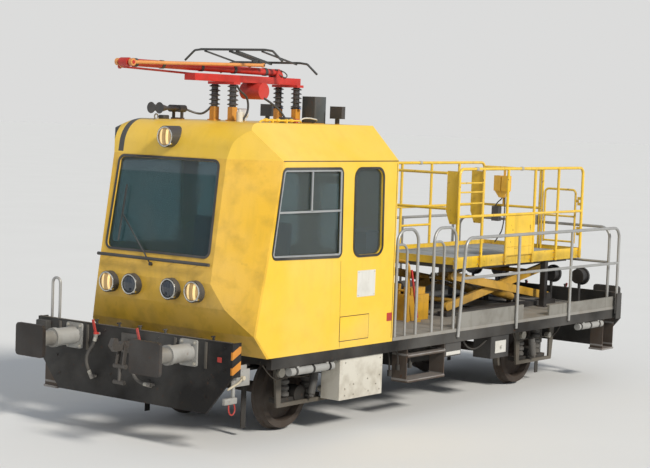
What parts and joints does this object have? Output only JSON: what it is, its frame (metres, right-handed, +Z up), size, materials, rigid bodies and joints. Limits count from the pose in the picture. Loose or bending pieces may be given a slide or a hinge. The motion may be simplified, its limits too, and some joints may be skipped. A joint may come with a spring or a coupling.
{
  "type": "track maintenance vehicle",
  "caption": "Two-axle rail motor vehicle with a cab, a folded roof pantograph, a flat deck with railings and a scissor lift work platform.",
  "frame": {"origin": "centre of the vehicle's length and width, at the height of the wheel flanges' lowest points", "axes": "+X forward to the cab end, +Y to the left side, +Z up"},
  "size_m": [10.1, 2.98, 4.4228],
  "materials": {
    "frame_black": "matte, dusty",
    "plate_black": "painted, weathered",
    "housing_grey": "painted, weathered",
    "buffer_grey": "greased and worn",
    "spring_grey": "dusty",
    "engine_grey": "cast, oily",
    "box_white": "painted, dusty",
    "step_steel": "worn steel",
    "deck_grey": "worn plate",
    "board_orange": "painted, worn",
    "rail_grey": "galvanised",
    "handrail_grey": "painted",
    "lamp_black": "painted",
    "cab_inside": "textured",
    "cab_yellow": "gloss, dusty",
    "cab_glass": "tinted",
    "seal_black": "matte",
    "roof_fittings": "painted, weathered",
    "insulator_dark": "glazed, dusty",
    "pantograph_red": "painted, weathered",
    "lift_dark": "painted, dusty",
    "platform_yellow": "gloss, dusty",
    "box_yellow": "gloss",
    "chromed_rod": "bright",
    "wheel_steel": "rusty, bright tread",
    "cock_red": "painted",
    "hose_black": "matte"
  },
  "bodies": {
    "vehicle": {"main_frame": "frame_black", "rail_guards": "frame_black", "end_plates": "plate_black", "buffer_housings": "housing_grey", "buffer_plungers": "buffer_grey", "draw_gear": "frame_black", "axle_boxes": "frame_black", "suspension": "spring_grey", "axle_guards": "frame_black", "engine_block": "engine_grey", "equipment_box": "box_white", "boxes_and_reservoirs": "frame_black", "steps": "step_steel", "deck_floor": "deck_grey", "side_boards": "board_orange", "deck_railings": "rail_grey", "handrail_loops": "handrail_grey", "rear_lamps": "lamp_black", "cab_floor": "cab_inside", "cab_side_left": "cab_yellow", "cab_side_right": "cab_yellow", "cab_front": "cab_yellow", "cab_roof": "cab_yellow", "cab_rear_wall": "cab_yellow", "cab_glass": "cab_glass", "window_seals": "seal_black", "front_lamps": "lamp_black", "bar_and_wiper": "seal_black", "cab_furniture": "cab_inside", "roof_fittings": "roof_fittings", "insulators": "insulator_dark", "pantograph_base": "pantograph_red", "lift_base": "lift_dark", "hydraulic_unit": "platform_yellow", "end_cocks": "cock_red", "hose_front_right": "hose_black", "hose_front_middle": "hose_black", "hose_rear_left": "hose_black", "hose_rear_middle": "hose_black"},
    "wheelset_front": {"wheelset_front": "wheel_steel"},
    "wheelset_rear": {"wheelset_rear": "wheel_steel"},
    "cab_door": {"cab_door": "cab_yellow", "door_glass": "cab_glass"},
    "scissor_outer": {"scissor_outer": "platform_yellow"},
    "scissor_inner": {"scissor_inner": "platform_yellow"},
    "platform": {"platform_floor": "platform_yellow", "platform_railings": "platform_yellow", "platform_end_rails": "platform_yellow", "control_boxes": "box_yellow"},
    "platform_gate": {"platform_gate": "platform_yellow"},
    "lift_barrels": {"lift_barrels": "platform_yellow"},
    "lift_rods": {"lift_rods": "chromed_rod"},
    "pantograph_lower_arm": {"pantograph_lower_arm": "pantograph_red"},
    "pantograph_upper_arm": {"pantograph_upper_arm": "pantograph_red"},
    "pantograph_head": {"pantograph_head": "pantograph_red"},
    "pantograph_push_rod": {"pantograph_push_rod": "pantograph_red"}
  },
  "joints": [
    {"name": "front_axle", "type": "hinge", "parent": "vehicle", "child": "wheelset_front", "pos_m": [2.6, 0, 0.455], "axis": [0, 1, 0], "continuous": true},
    {"name": "rear_axle", "type": "hinge", "parent": "vehicle", "child": "wheelset_rear", "pos_m": [-2.6, 0, 0.455], "axis": [0, 1, 0], "continuous": true},
    {"name": "cab_door_hinge", "type": "hinge", "parent": "vehicle", "child": "cab_door", "pos_m": [1.306, 0.854, 1.3], "axis": [0, 0, -1], "range_deg": [0, 100]},
    {"name": "scissor_lift", "type": "hinge", "parent": "vehicle", "child": "scissor_outer", "pos_m": [-3.7, 0, 1.165], "axis": [0, -1, 0], "range_deg": [0, 28]},
    {"name": "scissor_cross", "type": "hinge", "parent": "scissor_outer", "child": "scissor_inner", "pos_m": [-2.43755, 0, 1.37626], "axis": [0, -1, 0], "range_deg": [-56, 0]},
    {"name": "platform_level", "type": "hinge", "parent": "scissor_inner", "child": "platform", "pos_m": [-3.7, 0, 1.58752], "axis": [0, -1, 0], "range_deg": [0, 28]},
    {"name": "barrel_pivot", "type": "hinge", "parent": "vehicle", "child": "lift_barrels", "pos_m": [-3.33, 0, 1.13], "axis": [0, -1, 0], "range_deg": [0, 33.97]},
    {"name": "rod_slide", "type": "slide", "parent": "lift_barrels", "child": "lift_rods", "axis": [0.9721, 0, 0.2348], "range_m": [0, 0.10576]},
    {"name": "gate_hinge", "type": "hinge", "parent": "platform", "child": "platform_gate", "pos_m": [-4.18, 0.79, 2.08], "axis": [0, 0, 1], "range_deg": [0, 90]},
    {"name": "pantograph_raise", "type": "hinge", "parent": "vehicle", "child": "pantograph_lower_arm", "pos_m": [1.95, 0, 4.17], "axis": [0, -1, 0], "range_deg": [0, 28]},
    {"name": "pantograph_knee", "type": "hinge", "parent": "pantograph_lower_arm", "child": "pantograph_upper_arm", "pos_m": [4.55, 0, 4.19], "axis": [0, -1, 0], "range_deg": [-56, 0]},
    {"name": "pantograph_head_level", "type": "hinge", "parent": "pantograph_upper_arm", "child": "pantograph_head", "pos_m": [2.33, 0, 4.245], "axis": [0, -1, 0], "range_deg": [0, 28]},
    {"name": "push_rod_pivot", "type": "hinge", "parent": "vehicle", "child": "pantograph_push_rod", "pos_m": [1.6, 0, 4.056], "axis": [0, -1, 0], "range_deg": [0, 26.06]}
  ],
  "couplings": [
    {"joint": "scissor_cross", "follows": "scissor_lift", "ratio": -2},
    {"joint": "platform_level", "follows": "scissor_lift", "ratio": 1},
    {"joint": "barrel_pivot", "follows": "scissor_lift", "ratio": 1.2133},
    {"joint": "rod_slide", "follows": "scissor_lift", "m_per_rad": 0.21641},
    {"joint": "pantograph_knee", "follows": "pantograph_raise", "ratio": -2},
    {"joint": "pantograph_head_level", "follows": "pantograph_raise", "ratio": 1},
    {"joint": "push_rod_pivot", "follows": "pantograph_raise", "ratio": 0.93069}
  ]
}
